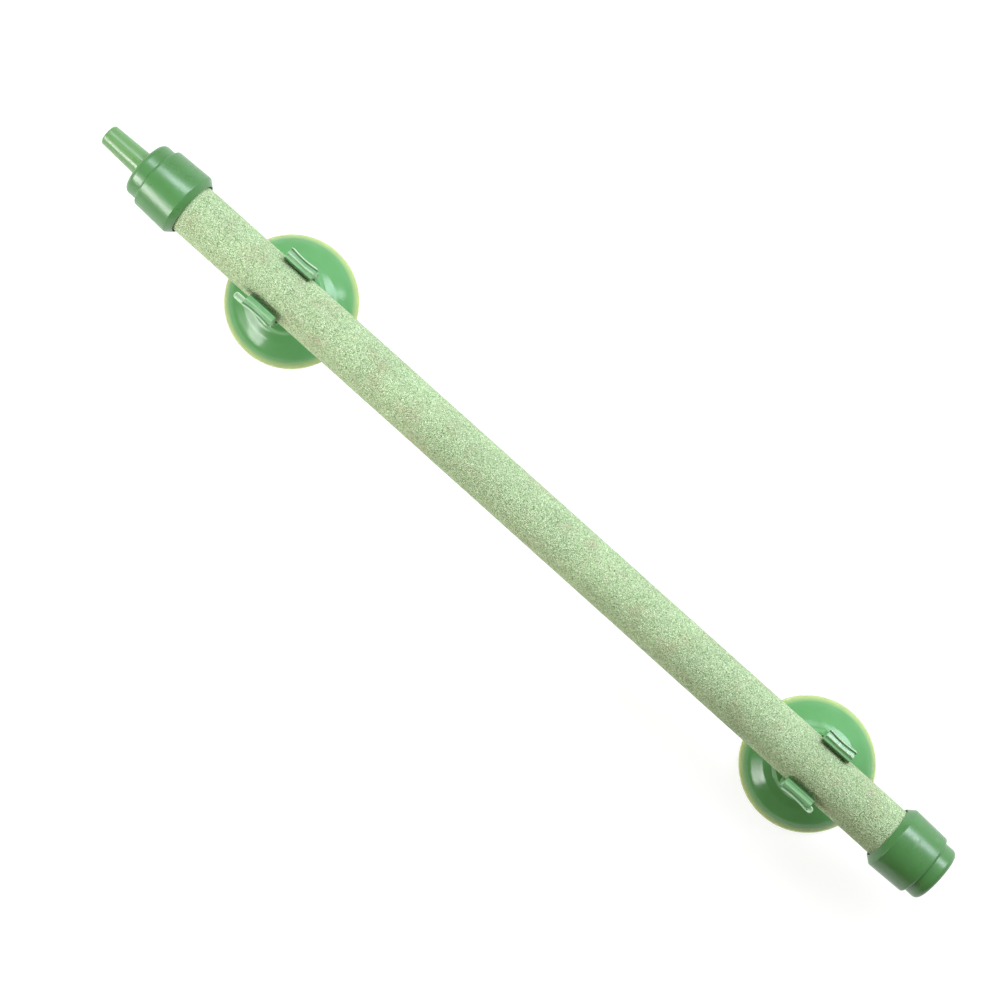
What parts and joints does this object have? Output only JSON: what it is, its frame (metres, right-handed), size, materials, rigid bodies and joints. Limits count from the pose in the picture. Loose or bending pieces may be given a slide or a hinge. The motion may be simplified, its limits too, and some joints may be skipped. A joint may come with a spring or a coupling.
{
  "type": "air stone",
  "caption": "Aquarium air stone: a round porous bubble bar with moulded end caps and a hose nipple, held in open clips on suction cups.",
  "frame": {"origin": "under the middle of the bar, on the plane of the two suction cups' rims", "axes": "+X along the bar from the hose nipple towards the closed end, +Z from the suction cups up to the bar, +Y across"},
  "size_m": [0.2, 0.0254, 0.0235],
  "materials": {
    "porous_stone": "matte",
    "cap_plastic": "satin",
    "clip_plastic": "gloss",
    "soft_vinyl": "gloss",
    "adhesive": "gloss"
  },
  "bodies": {
    "bar": {"porous_tube": "porous_stone", "inlet_cap": "cap_plastic", "end_cap": "cap_plastic", "inlet_seal": "adhesive", "end_seal": "adhesive"},
    "inlet_clip": {"inlet_clip": "clip_plastic"},
    "end_clip": {"end_clip": "clip_plastic"},
    "inlet_cup": {"inlet_suction_cup": "soft_vinyl"},
    "end_cup": {"end_suction_cup": "soft_vinyl"}
  },
  "joints": [
    {"name": "inlet_clip_slide", "type": "slide", "parent": "bar", "child": "inlet_clip", "axis": [1, 0, 0], "range_m": [-0.0186, 0.1031]},
    {"name": "end_clip_slide", "type": "slide", "parent": "bar", "child": "end_clip", "axis": [1, 0, 0], "range_m": [-0.1031, 0.0134]},
    {"name": "inlet_cup_swivel", "type": "hinge", "parent": "inlet_clip", "child": "inlet_cup", "pos_m": [-0.0573, 0, 0], "axis": [0, 0, 1], "continuous": true},
    {"name": "end_cup_swivel", "type": "hinge", "parent": "end_clip", "child": "end_cup", "pos_m": [0.0715, 0, 0], "axis": [0, 0, 1], "continuous": true}
  ]
}
